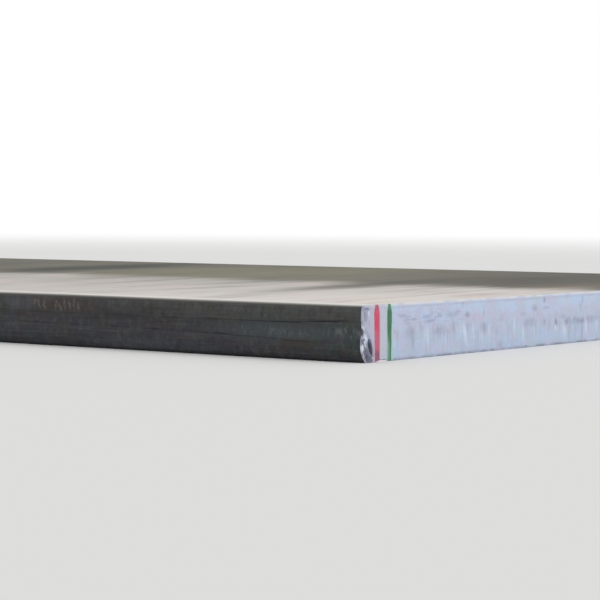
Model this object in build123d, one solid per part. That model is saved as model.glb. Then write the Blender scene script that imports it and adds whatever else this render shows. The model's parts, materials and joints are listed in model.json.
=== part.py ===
from build123d import *
import os
from math import ceil, pi, sin, sqrt

# Heavy plate, lying flat: length along X, width along Y, thickness along Z, in millimetres
plate_length = 6000.0
plate_width = 1800.0
plate_thickness = 100.0

# Rolled long edges: reaches go outwards from the edge line, depths go into the plate from its nearer face
upper_bulge_reach = 3.5
upper_bulge_depth = 18.0
upper_bulge_radius = 60.0
lower_bulge_reach = 6.5
lower_bulge_depth = 26.0
lower_bulge_radius = 40.0
waist_reach = 0.5
waist_shoulder_reach = 2.0

# Folded laps left by rolling: a narrow crease runs along each edge under the upper bulge and over the lower one
upper_lap_depth = 34.0
lower_lap_depth = 42.0
crease_mouth = 2.0
crease_depth = 2.5

# Waves of the long edges, along the length
edge_wave = 2.0
edge_wave_length = 4300.0
edge_ripple = 0.7
edge_ripple_length = 1700.0
upper_lap_wave = 1.5
upper_lap_wave_length = 1800.0
upper_lap_phase = -0.4
lower_lap_wave = 2.0
lower_lap_wave_length = 2200.0
lower_lap_phase = -0.6
station_pitch = 375.0

# Rims: rolled along the length, melted by the torch over the top of the cut ends
rim_radius = 2.0

# Torn corner at the marked end: widths go along the cut end, setbacks along the long edge
torn_foot_width = 31.0
torn_foot_setback = 1.2
torn_belly_height = 33.0
torn_belly_width = 26.0
torn_belly_setback = 1.0
torn_notch_height = 49.0
torn_notch_width = 17.0
torn_notch_setback = 4.5
torn_ledge_rise = 8.0
torn_ledge_width = 15.0
torn_ledge_setback = 1.2
torn_top_height = 92.0
torn_top_width = 9.0
torn_top_setback = 0.8

# Crack beside the torn corner: a leaning slit that narrows as it goes into the cut end
crack_top_height = 41.0
crack_top_offset = 21.0
crack_foot_height = 9.0
crack_foot_offset = 29.0
crack_width = 7.0
crack_depth = 9.0
crack_taper = 14.0

# Margin by which a cutting or trimming shape passes the surface that it trims
overrun = 5.0


def wave(distance, reach, length, phase):
    """Height of a gentle wave at this distance from the marked end."""
    return reach * sin(2 * pi * distance / length + phase)


def bulge(depth, peak_depth, reach, radius):
    """Reach of a round bulge at this depth."""
    return reach - radius + sqrt(radius**2 - (depth - peak_depth) ** 2)


def edge_side(distance, side, phase):
    """One long edge in section, from above the top face to below the underside."""
    line = plate_width / 2 + wave(distance, edge_wave, edge_wave_length, phase)
    line += wave(distance, edge_ripple, edge_ripple_length, 2 * phase)
    upper_lap = upper_lap_depth + wave(distance, upper_lap_wave, upper_lap_wave_length, phase + upper_lap_phase)
    lower_lap = lower_lap_depth + wave(distance, lower_lap_wave, lower_lap_wave_length, phase + lower_lap_phase)
    half_mouth = crease_mouth / 2

    def place(reach, height):
        return Vector(plate_length / 2 - distance, side * (line + reach), height)

    def upper(depth):
        reach = bulge(depth, upper_bulge_depth, upper_bulge_reach, upper_bulge_radius)
        return place(reach, plate_thickness - depth)

    def lower(depth):
        return place(bulge(depth, lower_bulge_depth, lower_bulge_reach, lower_bulge_radius), depth)

    upper_fold = plate_thickness - upper_lap
    upper_lip = upper(upper_lap - half_mouth)
    upper_root = place(waist_shoulder_reach - crease_depth, upper_fold)
    waist_top = place(waist_shoulder_reach, upper_fold - half_mouth)
    waist = place(waist_reach, (upper_fold + lower_lap) / 2)
    waist_bottom = place(waist_shoulder_reach, lower_lap + half_mouth)
    lower_root = place(waist_shoulder_reach - crease_depth, lower_lap)
    lower_lip = lower(lower_lap - half_mouth)
    return [
        ThreePointArc(upper(-overrun), upper(upper_bulge_depth), upper_lip),
        Line(upper_lip, upper_root),
        Line(upper_root, waist_top),
        ThreePointArc(waist_top, waist, waist_bottom),
        Line(waist_bottom, lower_root),
        Line(lower_root, lower_lip),
        ThreePointArc(lower_lip, lower(lower_bulge_depth), lower(-overrun)),
    ]


def section(distance):
    """Cross-section of the rolled plate at this distance from the marked end, higher than the plate."""
    near = edge_side(distance, -1, 0.0)
    far = edge_side(distance, 1, 2.4)
    over = Line(near[0] @ 0, far[0] @ 0)
    under = Line(near[-1] @ 1, far[-1] @ 1)
    return make_face(Wire([over, *near, under, *far]))


def rolled_plate():
    """The plate with its waved, lapped long edges, between flat faces and square cut ends."""
    spans = ceil((plate_length + 2 * overrun) / station_pitch)
    pitch = (plate_length + 2 * overrun) / spans
    blank = loft([section(pitch * i - overrun) for i in range(spans + 1)])
    room = plate_width + 4 * (lower_bulge_reach + edge_wave + edge_ripple)
    slab = Box(plate_length, room, plate_thickness, align=(Align.CENTER, Align.CENTER, Align.MIN))
    return blank & slab


def rounded_rims(plate):
    """Rounds all rims of the top face and the long rims of the underside; below, the cut ends stay sharp."""
    top = plate.faces().sort_by(Axis.Z)[-1]
    underside = plate.faces().sort_by(Axis.Z)[0]
    return fillet([*top.edges(), *underside.edges().sort_by(SortBy.LENGTH)[-2:]], rim_radius)


def torn_slice(height, width, setback):
    """Triangle of missing metal at this height; its slanting side is the broken face."""
    outer_y = -plate_width / 2 - lower_bulge_reach - edge_wave - edge_ripple
    run = (plate_length / 2, -plate_width / 2 + width)
    rise = (plate_length / 2 - setback, outer_y)
    scale = overrun / width
    start = (run[0] + (run[0] - rise[0]) * scale, run[1] + (run[1] - rise[1]) * scale)
    end = (rise[0] - (run[0] - rise[0]) * scale, rise[1] - (run[1] - rise[1]) * scale)
    return Pos(Z=height) * make_face(Polyline(start, (start[0], end[1]), end, close=True))


def torn_corner():
    """The metal that broke off the marked corner: widest at the foot and deepest at the notch."""
    return loft(
        [
            torn_slice(-overrun, torn_foot_width, torn_foot_setback),
            torn_slice(torn_belly_height, torn_belly_width, torn_belly_setback),
            torn_slice(torn_notch_height, torn_notch_width, torn_notch_setback),
            torn_slice(torn_notch_height + torn_ledge_rise, torn_ledge_width, torn_ledge_setback),
            torn_slice(torn_top_height, torn_top_width, torn_top_setback),
        ],
        ruled=True,
    )


def crack():
    """The open crack in the cut end beside the torn corner."""
    end_face = Plane((plate_length / 2, -plate_width / 2, 0), x_dir=(0, 1, 0), z_dir=(1, 0, 0))
    top = Vector(crack_top_offset, crack_top_height)
    foot = Vector(crack_foot_offset, crack_foot_height)
    middle = (top + foot) / 2
    half = Vector(crack_width / 2, 0)
    slit = make_face([ThreePointArc(top, middle - half, foot), ThreePointArc(foot, middle + half, top)])
    return extrude(end_face * slit, -crack_depth, taper=crack_taper)


def centred(plate):
    """Puts the middle of the underside at the origin."""
    middle = plate.bounding_box().center()
    return Pos(-middle.X, -middle.Y, 0) * plate


steel_plate = centred(rounded_rims(rolled_plate()) - torn_corner() - crack())
steel_plate.label = "steel_plate"

os.makedirs("parts", exist_ok=True)
export_step(steel_plate, "parts/steel_plate.step")
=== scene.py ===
import json
from math import cos, exp, pi, radians, sin, sqrt

import bpy
import numpy as np
from mathutils import Matrix, Vector, noise

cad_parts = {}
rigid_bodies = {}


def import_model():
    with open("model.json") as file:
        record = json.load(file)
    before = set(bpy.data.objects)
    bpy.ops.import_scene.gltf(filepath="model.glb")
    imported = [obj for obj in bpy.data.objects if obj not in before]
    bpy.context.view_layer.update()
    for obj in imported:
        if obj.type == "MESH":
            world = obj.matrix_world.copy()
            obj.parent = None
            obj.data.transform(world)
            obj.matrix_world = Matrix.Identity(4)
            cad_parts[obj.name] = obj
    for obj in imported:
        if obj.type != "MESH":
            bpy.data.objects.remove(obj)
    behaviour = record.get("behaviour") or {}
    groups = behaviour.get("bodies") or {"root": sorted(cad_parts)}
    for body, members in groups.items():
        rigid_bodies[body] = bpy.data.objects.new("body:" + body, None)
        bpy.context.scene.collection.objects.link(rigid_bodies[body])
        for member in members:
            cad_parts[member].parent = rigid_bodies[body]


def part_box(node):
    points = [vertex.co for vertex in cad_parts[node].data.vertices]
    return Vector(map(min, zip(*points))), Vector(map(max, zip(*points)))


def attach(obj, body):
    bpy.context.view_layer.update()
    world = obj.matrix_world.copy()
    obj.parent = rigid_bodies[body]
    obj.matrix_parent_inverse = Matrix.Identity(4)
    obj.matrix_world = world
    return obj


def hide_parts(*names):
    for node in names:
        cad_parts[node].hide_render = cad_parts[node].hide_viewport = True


bl_info = {
    "name": "Rolled steel plate",
    "version": (1, 0, 0),
    "blender": (4, 5, 0),
    "location": "View3D > Sidebar > Plate",
    "description": "Dresses a heavy rolled plate: lapped mill edges, flame-cut ends, paint marks and mill scale",
    "category": "Object",
}

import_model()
NODE = "steel_plate"
LOW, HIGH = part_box(NODE)
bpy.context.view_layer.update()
MM = 0.001


def linear(code):
    """Turns an sRGB hex colour into the linear colour, with full alpha, that shaders and properties hold."""
    channels = [int(code[i : i + 2], 16) / 255 for i in (1, 3, 5)]
    return (*(c / 12.92 if c <= 0.04045 else ((c + 0.055) / 1.055) ** 2.4 for c in channels), 1.0)


def length_property(name, description, default):
    """A length in metres that a user may change."""
    return bpy.props.FloatProperty(name=name, description=description, default=default, unit="LENGTH", precision=4)


def angle_property(name, description, degrees):
    """An angle that a user may change."""
    return bpy.props.FloatProperty(name=name, description=description, default=radians(degrees), subtype="ANGLE")


def colour_property(name, description, code):
    """A surface colour that a user may change."""
    return bpy.props.FloatVectorProperty(
        name=name, description=description, default=linear(code), subtype="COLOR", size=4, min=0, max=1
    )


class PlateSizes(bpy.types.PropertyGroup):
    """Sizes of the plate and of the section of its long edges, as in the plate's solid."""

    length: length_property("Length", "Rolled length of the plate", HIGH.x - LOW.x)
    thickness: length_property("Thickness", "Thickness of the plate", HIGH.z - LOW.z)
    width: length_property("Width", "Width between the edge lines", 1800 * MM)
    rim: length_property("Rim radius", "Radius of the rolled and melted rims", 2 * MM)
    sharp_rim: length_property("Lower rim", "Chamfer left under the cut ends", 0.5 * MM)
    strip: length_property("Rim strip", "Width of the fine strip beside each rim", 12 * MM)
    upper_reach: length_property("Upper bulge", "How far the upper bulge stands proud", 3.5 * MM)
    upper_depth: length_property("Upper bulge depth", "Depth of the upper bulge's peak", 18 * MM)
    upper_radius: length_property("Upper bulge radius", "Roundness of the upper bulge", 60 * MM)
    lower_reach: length_property("Lower bulge", "How far the lower bulge stands proud", 6.5 * MM)
    lower_depth: length_property("Lower bulge height", "Height of the lower bulge's peak", 26 * MM)
    lower_radius: length_property("Lower bulge radius", "Roundness of the lower bulge", 40 * MM)
    waist_reach: length_property("Waist", "How far the waist stands proud at its middle", 0.5 * MM)
    shoulder: length_property("Waist shoulder", "How far the waist stands proud at the laps", 2 * MM)
    upper_lap: length_property("Upper lap", "Depth of the upper lap", 34 * MM)
    lower_lap: length_property("Lower lap", "Height of the lower lap", 42 * MM)
    mouth: length_property("Crease mouth", "Height of a lap's open crease", 2 * MM)
    crease: length_property("Crease depth", "Depth of a lap's crease", 2.5 * MM)
    dent: length_property("Edge dents", "Depth of the dents along the rolled edges", 1.2 * MM)
    flute: length_property("Drag flutes", "Depth of the flutes left by the cutting torch", 0.35 * MM)
    shard: length_property("Shards", "Depth of the broken metal's relief at the torn corner", 1.6 * MM)


class PlateColours(bpy.types.PropertyGroup):
    """Main colours of the plate's finishes."""

    # The dust colour below is partly a painted reflection on the top face
    dust_and_sheen: colour_property("Dust", "Pale dust on the mill scale of the marked half", "#ded8d3")
    scale: colour_property("Mill scale", "Weathered mill scale of the far half", "#6c6b63")
    edge: colour_property("Rolled edge", "Dark scale of the rolled edges", "#3a3a3f")
    cut: colour_property("Cut face", "Blue-grey oxide of the flame-cut ends", "#aeb9cd")
    torn: colour_property("Torn metal", "Bare metal of the torn corner", "#9a9db0")
    red: colour_property("Red paint", "Red marking stripe", "#bf3f5c")
    green: colour_property("Green paint", "Green marking stripe", "#23643a")
    chalk: colour_property("Chalk", "Tally strokes on the rolled edge", "#857e79")


class StageSettings(bpy.types.PropertyGroup):
    """Camera, lights and floor."""

    distance: length_property("Distance", "Level distance from the marked corner to the camera", 3.679)
    sideways: length_property("Sideways", "How far the camera stands left of the corner", 0.1089)
    height: length_property("Height", "Height of the camera above the top face", 0.1747)
    heading: angle_property("Heading", "Turn of the view from the width towards the length", 37.108)
    pitch: angle_property("Pitch", "Downward tilt of the view", 2.578)
    roll: angle_property("Roll", "Roll of the camera", 0.21)
    lens: bpy.props.FloatProperty(name="Lens", description="Focal length on a 36 mm sensor", default=128.44)
    sky: bpy.props.FloatProperty(name="Sky", description="Strength of the soft light from all round", default=0.7)
    key: bpy.props.FloatProperty(name="Key", description="Strength of the soft key light", default=1.2)
    floor: colour_property("Floor", "Pale floor", "#e9e9e8")


# Waves of the long edges and of their laps, as reach, length and phase, measured from the marked end
EDGE_WAVE = (2.0 * MM, 4.3, 0.0)
EDGE_RIPPLE = (0.7 * MM, 1.7, 0.0)
UPPER_LAP_WAVE = (1.5 * MM, 1.8, -0.4)
LOWER_LAP_WAVE = (2.0 * MM, 2.2, -0.6)
NEAR_PHASE = 0.0
FAR_PHASE = 2.4

# Finer wander of the laps, their dip beside the marked end, and how far their creases close
LAP_WOBBLE = 1.1 * MM
LAP_WOBBLE_LENGTH = 70 * MM
UPPER_TURN = (9 * MM, 70 * MM)
LOWER_DIP = (8 * MM, 125 * MM, 130 * MM)
UPPER_OPEN = 0.35
LOWER_OPEN = 0.1

# Dents of the rolled edge at the torn corner: depth below the top face, half height, how deep and how long
CORNER_DENTS = (
    (51 * MM, 5 * MM, 3.0 * MM, 22 * MM),
    (83 * MM, 20 * MM, 3.0 * MM, 60 * MM),
    (95 * MM, 9 * MM, 3.5 * MM, 36 * MM),
)

# The laps and their creases run out over these lengths towards the marked end
UPPER_RUN_OUT = 45 * MM
LOWER_RUN_OUT = 110 * MM

# Torn corner, in mm: height, width on the cut end and setback along the rolled edge, about as in the solid
TORN_SLICES = (
    (-5, 31, 0.8),
    (20, 27, 0.5),
    (33, 26, 0.6),
    (42, 21, 1.4),
    (49, 17, 3.4),
    (57, 15, 0.8),
    (92, 9, 0.5),
)
TORN_BLEND = 36 * MM
TORN_RAG = 0.8 * MM
CRACK_TOP = (21 * MM, 41 * MM)
CRACK_FOOT = (29 * MM, 9 * MM)
CRACK_WIDTH = 7 * MM
CRACK_DEPTH = 7 * MM

# Rows of faces down each side; the number of columns along it and how close they stand near the torn corner
RIM_TURNS = [(sin(radians(a)), 1 - cos(radians(a))) for a in (0, 30, 60, 90)]
BULGE_ROWS = 7
WAIST_ROWS = 8
NEAR_START = 1.4
MARKED_START = 0.42
END_BLEND = 80 * MM
BANDS_AT = 1.0
SCALE, EDGE, CUT = range(3)


def wave(distance, shape, turn):
    """Height of a gentle wave at this distance from the marked end."""
    reach, length, phase = shape
    return reach * sin(2 * pi * distance / length + phase + turn)


def wander(distance, seed):
    """Uneven number from about -1 to 1 that changes slowly along the edge."""
    return noise.fractal(Vector((distance / LAP_WOBBLE_LENGTH, seed, 0.5)), 0.8, 2.0, 3)


def fold(sizes, distance, seed, open_share):
    """How far a lap's crease is open here: it closes in places."""
    return sizes.crease * min(max(open_share + 0.45 * wander(distance, seed), 0.05), 1.0)


def bulge(depth, peak, reach, radius):
    """Reach of a round bulge at this depth."""
    return reach - radius + sqrt(radius**2 - (depth - peak) ** 2)


def rolled_section(sizes, distance, turn):
    """Reach and depth of each row over a rolled edge, from the top face round to the underside."""
    lap = sizes.upper_lap + wave(distance, UPPER_LAP_WAVE, turn) + LAP_WOBBLE * wander(distance, turn)
    lap -= UPPER_TURN[0] * exp(-distance / UPPER_TURN[1])
    low_lap = sizes.lower_lap + wave(distance, LOWER_LAP_WAVE, turn) + LAP_WOBBLE * wander(distance, turn + 7)
    dip, lowest, fade = LOWER_DIP
    low_lap -= dip / (1 + ((distance - lowest) / (fade if distance > lowest else lowest / 2)) ** 2)
    low_lap = sizes.thickness - low_lap
    half = sizes.mouth / 2
    rim = sizes.rim

    def upper(depth):
        return bulge(depth, sizes.upper_depth, sizes.upper_reach, sizes.upper_radius)

    def lower(depth):
        return bulge(sizes.thickness - depth, sizes.lower_depth, sizes.lower_reach, sizes.lower_radius)

    head = upper(rim) - rim
    foot = lower(sizes.thickness - rim) - rim
    rows = [(head - sizes.strip, 0.0)]
    rows += [(head + rim * out, rim * down) for out, down in RIM_TURNS]
    rows += [(upper(d), d) for d in np.linspace(rim, lap - half, BULGE_ROWS + 1)[1:]]
    head_ledge = 1 - exp(-((distance / UPPER_RUN_OUT) ** 2))
    foot_ledge = 1 - exp(-((distance / LOWER_RUN_OUT) ** 2))
    head_shoulder = sizes.shoulder * head_ledge + upper(lap - half) * (1 - head_ledge)
    foot_shoulder = sizes.shoulder * foot_ledge + lower(low_lap + half) * (1 - foot_ledge)
    rows += [(head_shoulder - fold(sizes, distance, turn + 3, UPPER_OPEN) * head_ledge, lap)]
    for share in np.linspace(-1, 1, WAIST_ROWS):
        depth = (lap + low_lap) / 2 + share * ((low_lap - lap) / 2 - half)
        shoulder = head_shoulder if share < 0 else foot_shoulder
        rows.append((sizes.waist_reach + (shoulder - sizes.waist_reach) * share**2, depth))
    rows += [(foot_shoulder - fold(sizes, distance, turn + 5, LOWER_OPEN) * foot_ledge, low_lap)]
    rows += [(lower(d), d) for d in np.linspace(low_lap + half, sizes.thickness - rim, BULGE_ROWS + 1)[:-1]]
    rows += [(foot + rim * out, sizes.thickness - rim * up) for out, up in reversed(RIM_TURNS)]
    rows += [(foot - sizes.strip, sizes.thickness)]
    rows = np.array(rows)
    if turn == NEAR_PHASE:
        for middle, half_height, deep, run in CORNER_DENTS:
            rows[1:-1, 0] -= deep * exp(-((distance / run) ** 2)) * np.exp(-(((rows[1:-1, 1] - middle) / half_height) ** 2))
    return rows


def cut_reaches(sizes, count):
    """How far each row stands out over a cut end: a melted rim above, a sharp one below."""
    reaches = np.zeros(count)
    reaches[0] = -sizes.strip
    reaches[1 : 1 + len(RIM_TURNS)] = [-sizes.rim * (1 - out) for out, _ in RIM_TURNS]
    reaches[-2:] = (-sizes.sharp_rim, -sizes.strip)
    return reaches


def edge_line(sizes, distance, turn):
    """Half the plate's width at this distance from the marked end."""
    return sizes.width / 2 + wave(distance, EDGE_WAVE, turn) + wave(distance, EDGE_RIPPLE, 2 * turn)


def torn_share(across, height):
    """How far into the torn corner this place lies: 0 on the cut face, 1 at the long edge."""
    heights, widths, _ = np.array(TORN_SLICES).T * MM
    return min(max(1 - across / np.interp(height, heights, widths), 0.0), 1.0)


def torn_recess(across, height):
    """How far the torn corner lies behind the cut end, at this distance from the corner and this height."""
    heights, _, setbacks = np.array(TORN_SLICES).T * MM
    setback = np.interp(height, heights, setbacks)
    share = torn_share(across, height)
    rag = noise.noise(Vector((across * 90, height * 60, 3.1)))
    recess = setback * share + TORN_RAG * sqrt(share) * (0.7 + rag) * min(max((0.9 - height / HIGH.z) * 4, 0), 1)
    along = (CRACK_TOP[1] - height) / (CRACK_TOP[1] - CRACK_FOOT[1])
    if 0 < along < 1:
        middle = CRACK_TOP[0] + (CRACK_FOOT[0] - CRACK_TOP[0]) * along
        half = CRACK_WIDTH / 2 * sqrt(1 - (2 * along - 1) ** 2)
        recess += CRACK_DEPTH * max(1 - abs(across - middle) / half, 0.0)
    return max(recess, 0.0)


def spread(share, start, whole):
    """Distance of a column: close together at first, as if all of them shared the start, and wider after it."""
    return start * share + (whole - start) * share**3


def near_column(sizes, share):
    """Places of the rows of one column of the near rolled edge, from the plain end to the marked one."""
    distance = spread(1 - share, NEAR_START, sizes.length)
    section = rolled_section(sizes, distance, NEAR_PHASE)
    inset = 1 + 2 * cut_reaches(sizes, len(section)) / sizes.length
    x = (sizes.length / 2 - distance) * inset
    y = -edge_line(sizes, distance, NEAR_PHASE) - section[:, 0]
    z = sizes.thickness - section[:, 1]
    if distance < TORN_BLEND:
        x -= np.array([torn_recess(0.0, height) for height in z]) * (1 - distance / TORN_BLEND)
    return np.column_stack([x, y, z])


def far_column(sizes, share):
    """Places of the rows of one column of the far rolled edge, from the marked end to the plain one."""
    distance = share * sizes.length
    section = rolled_section(sizes, distance, FAR_PHASE)
    inset = 1 + 2 * cut_reaches(sizes, len(section)) / sizes.length
    x = (sizes.length / 2 - distance) * inset
    y = edge_line(sizes, distance, FAR_PHASE) + section[:, 0]
    return np.column_stack([x, y, sizes.thickness - section[:, 1]])


def cut_column(sizes, share, distance):
    """Places of one column of a cut end, at this share of the width, and its distance from the near edge."""
    near = rolled_section(sizes, distance, NEAR_PHASE)
    far = rolled_section(sizes, distance, FAR_PHASE)
    near_line = edge_line(sizes, distance, NEAR_PHASE)
    far_line = edge_line(sizes, distance, FAR_PHASE)
    across = share * (near_line + far_line)
    y = np.full(len(near), across - near_line)
    y -= near[:, 0] * max(1 - across / END_BLEND, 0.0)
    y += far[:, 0] * max(1 - (near_line + far_line - across) / END_BLEND, 0.0)
    z = sizes.thickness - near[:, 1] * (1 - share) - far[:, 1] * share
    x = sizes.length / 2 + cut_reaches(sizes, len(near))
    return np.column_stack([x, y, z]), across


def marked_column(sizes, share):
    """Places of the rows of one column of the marked cut end, with the torn corner."""
    places, across = cut_column(sizes, spread(share, MARKED_START, 1.0), 0.0)
    if across < TORN_BLEND:
        places[:, 0] -= [torn_recess(across, height) for height in places[:, 2]]
    return places


def plain_column(sizes, share):
    """Places of the rows of one column of the plain cut end, from the far edge to the near one."""
    places, _ = cut_column(sizes, 1 - share, sizes.length)
    places[:, 0] *= -1
    return places


# Each side's columns, the function that places them and the finish of its face below the rims
SIDES = (
    ("near", 560, near_column, EDGE, EDGE),
    ("marked", 560, marked_column, CUT, CUT),
    ("far", 340, far_column, EDGE, EDGE),
    ("plain", 260, plain_column, CUT, CUT),
)


def deselect():
    """Leaves nothing selected, so that the next operator acts only on its own piece."""
    for item in bpy.context.view_layer.objects:
        item.select_set(False)


def side_belt(sizes, finishes, name, columns, place_column, face_slot, rim_slot):
    """One side of the plate: a flat grid whose rows and columns are set along the side's section."""
    places = np.array([place_column(sizes, i / columns) for i in range(columns + 1)])
    rows = places.shape[1] - 1
    bands = rolled_section(sizes, BANDS_AT, NEAR_PHASE)[:, 1] / sizes.thickness
    deselect()
    bpy.ops.mesh.primitive_grid_add(x_subdivisions=columns, y_subdivisions=rows, size=1)
    belt = bpy.context.object
    belt.name = name
    mesh = belt.data
    flat = np.empty(len(mesh.vertices) * 3)
    mesh.vertices.foreach_get("co", flat)
    flat = flat.reshape(-1, 3)
    column = np.rint((flat[:, 0] + 0.5) * columns).astype(int)
    row = np.rint((0.5 - flat[:, 1]) * rows).astype(int)
    for finish in finishes:
        mesh.materials.append(finish)
    corners = np.array([polygon.vertices[:] for polygon in mesh.polygons])
    first_row = row[corners].min(axis=1)
    rim = len(RIM_TURNS)
    slots = np.full(len(first_row), face_slot)
    slots[(first_row < rim) | (first_row >= rows - rim)] = rim_slot
    slots[(first_row == 0) | (first_row == rows - 1)] = SCALE
    mesh.polygons.foreach_set("material_index", slots)
    mesh.vertices.foreach_set("co", places[column, row].ravel())
    mesh.attributes.new("band", "FLOAT", "POINT").data.foreach_set("value", bands[row])
    return belt


def select_where(plate, kind, test):
    """Selects the vertices, edges or faces whose middle passes the test, and no others."""
    mesh = plate.data
    for items in (mesh.vertices, mesh.edges, mesh.polygons):
        items.foreach_set("select", np.zeros(len(items), bool))
    points = [vertex.co for vertex in mesh.vertices]
    for item in getattr(mesh, kind):
        middle = sum((points[i] for i in item.vertices), Vector()) / len(item.vertices)
        item.select = test(middle)


def in_edit_mode(plate, mode, steps):
    """Runs some steps in edit mode on what is selected."""
    bpy.context.view_layer.objects.active = plate
    bpy.ops.object.mode_set(mode="EDIT")
    bpy.context.tool_settings.mesh_select_mode = [mode == name for name in ("VERT", "EDGE", "FACE")]
    for step, options in steps:
        step(**options)
    bpy.ops.object.mode_set(mode="OBJECT")


def weigh(plate, name, weights):
    """A group of the plate's points, each with its weight."""
    group = plate.vertex_groups.new(name=name)
    for index in np.flatnonzero(weights > 0.001):
        group.add([int(index)], float(weights[index]), "REPLACE")
    return group


def press_relief(plate, group, depth, size, seed, hard=False):
    """Presses uneven relief into part of the skin; the pattern's size is along, across and down, in metres."""
    texture = bpy.data.textures.new(group, "CLOUDS")
    texture.noise_scale = 1.0
    texture.noise_depth = 2
    texture.noise_type = "HARD_NOISE" if hard else "SOFT_NOISE"
    deselect()
    bpy.ops.object.empty_add(location=(seed, seed / 3, seed / 7), scale=size)
    ruler = bpy.context.object
    bpy.context.view_layer.objects.active = plate
    relief = plate.modifiers.new(group, "DISPLACE")
    relief.texture = texture
    relief.texture_coords = "OBJECT"
    relief.texture_coords_object = ruler
    relief.vertex_group = group
    relief.direction = "NORMAL"
    relief.mid_level = 1.0
    relief.strength = depth
    bpy.ops.object.modifier_apply(modifier=relief.name)
    bpy.data.objects.remove(ruler)
    bpy.data.textures.remove(texture)


def ramp_weight(values, start, end):
    """Weights that rise from 0 at the start value to 1 at the end value."""
    return np.clip((values - start) / (end - start), 0.0, 1.0)


def wire(tree, node, inputs):
    """Links or fills a node's inputs, given by name or number."""
    for key, value in inputs.items():
        if isinstance(value, bpy.types.Node):
            value = next(socket for socket in value.outputs if socket.enabled)
        if isinstance(value, bpy.types.NodeSocket):
            tree.links.new(value, node.inputs[key])
        else:
            node.inputs[key].default_value = value
    return node


def add(tree, kind, inputs=None, stops=None, **settings):
    """Adds a node with its settings, its ramp's stops and its links."""
    node = tree.nodes.new(kind)
    for name, value in settings.items():
        setattr(node, name, value)
    if stops:
        colours = [linear(colour) if isinstance(colour, str) else colour for _, colour in stops]
        elements = node.color_ramp.elements
        elements[0].position, elements[1].position = stops[0][0], stops[-1][0]
        elements[0].color, elements[1].color = colours[0], colours[-1]
        for (position, _), colour in zip(stops[1:-1], colours[1:-1]):
            elements.new(position).color = colour
    return wire(tree, node, inputs or {})


# A smooth step stays within its range by itself, and a clamp would cost the renderer one more node each time
SMOOTH = {"interpolation_type": "SMOOTHSTEP", "clamp": False}


def start_finish(sizes, name):
    """A new material, its shader, and the place on the plate: along from the marked end, across and down."""
    material = bpy.data.materials.new(name)
    material.use_nodes = True
    tree = material.node_tree
    tree.nodes.clear()
    shader = add(tree, "ShaderNodeBsdfPrincipled")
    add(tree, "ShaderNodeOutputMaterial", {"Surface": shader})
    here = add(tree, "ShaderNodeTexCoord").outputs["Object"]
    corner = (sizes.length / 2, sizes.width / 2, sizes.thickness)
    place = add(tree, "ShaderNodeMapping", {"Vector": here, "Location": corner, "Scale": (-1, 1, -1)})
    return material, tree, shader, place


def mottle(tree, place, size, low, high, seed=0.0, detail=3.0):
    """Uneven patches of this size (along, across and down, in mm), as a mask between two noise levels."""
    scaled = add(tree, "ShaderNodeMapping", {"Vector": place, "Scale": [1 / (side * MM) for side in size]})
    grain = {"Vector": scaled, "W": seed, "Scale": 1.0, "Detail": detail, "Roughness": 0.6}
    level = add(tree, "ShaderNodeTexNoise", grain, noise_dimensions="4D")
    return add(tree, "ShaderNodeMapRange", {"Value": level, 1: low, 2: high}, **SMOOTH)


def blot(tree, place, middle, size, turn=(0, 0, 0), soft=0.4, strength=1.0):
    """Mask of one soft oval mark: its middle and size along, across and down in mm, and its turn in degrees."""
    oval = {"Vector": place, "Location": [side * MM for side in middle], "Rotation": [radians(a) for a in turn]}
    oval["Scale"] = [side * MM / 2 * (1 + soft) for side in size]
    oval = add(tree, "ShaderNodeMapping", oval, vector_type="TEXTURE")
    inside = add(tree, "ShaderNodeTexGradient", {"Vector": oval}, gradient_type="SPHERICAL").outputs["Fac"]
    return add(tree, "ShaderNodeMapRange", {"Value": inside, 2: 2 * soft / (1 + soft), 4: strength}, **SMOOTH)


def cut_blot(tree, place, middle, size, lean, soft, strength):
    """Mask of one soft mark on a cut end: its middle and size across and down in mm, and its lean in degrees."""
    return blot(tree, place, (0, *middle), (900, *size), (lean, 0, 0), soft, strength)


def either(tree, *masks):
    """Mask of where any of these holds."""
    result = masks[0]
    for mask in masks[1:]:
        result = add(tree, "ShaderNodeMath", {0: mask, 1: result}, operation="MAXIMUM")
    return result


def ragged(tree, place, size, shift):
    """The place on the plate, shifted unevenly by up to this many mm, so that marks get ragged borders."""
    coarse = {"Vector": place, "Scale": 1 / (size * MM), "Detail": 2.0}
    grain = add(tree, "ShaderNodeTexNoise", coarse).outputs["Color"]
    centred = add(tree, "ShaderNodeVectorMath", {0: grain, 1: (0.5, 0.5, 0.5)}, operation="SUBTRACT")
    moved = add(tree, "ShaderNodeVectorMath", {0: centred, "Scale": 2 * shift * MM}, operation="SCALE")
    return add(tree, "ShaderNodeMapping", {"Vector": place, "Location": moved})


def between(tree, value, start, end, soft):
    """Mask of where a distance lies between two others, with soft borders."""
    rise = {"Value": value, 1: start - soft, 2: start + soft}
    fall = {"Value": value, 1: end + soft, 2: end - soft}
    sides = [add(tree, "ShaderNodeMapRange", side, **SMOOTH) for side in (rise, fall)]
    return overlap(tree, *sides)


def overlap(tree, *masks):
    """Mask of where all of these hold."""
    result = masks[0]
    for mask in masks[1:]:
        result = add(tree, "ShaderNodeMath", {0: result, 1: mask}, operation="MULTIPLY")
    return result


def layered(tree, base, *layers):
    """Lays each colour over the last, where its mask says."""
    for mask, colour in layers:
        colour = linear(colour) if isinstance(colour, str) else colour
        base = add(tree, "ShaderNodeMix", {0: mask, 6: base, 7: colour}, data_type="RGBA")
    return base


def relief(tree, *heights):
    """Normal of a skin whose patterns stand these numbers of millimetres high."""
    total = 0.0
    for mask, height in heights:
        total = add(tree, "ShaderNodeMath", {0: mask, 1: height, 2: total}, operation="MULTIPLY_ADD")
    return add(tree, "ShaderNodeBump", {"Height": total, "Distance": MM, "Strength": 1.0})
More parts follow.
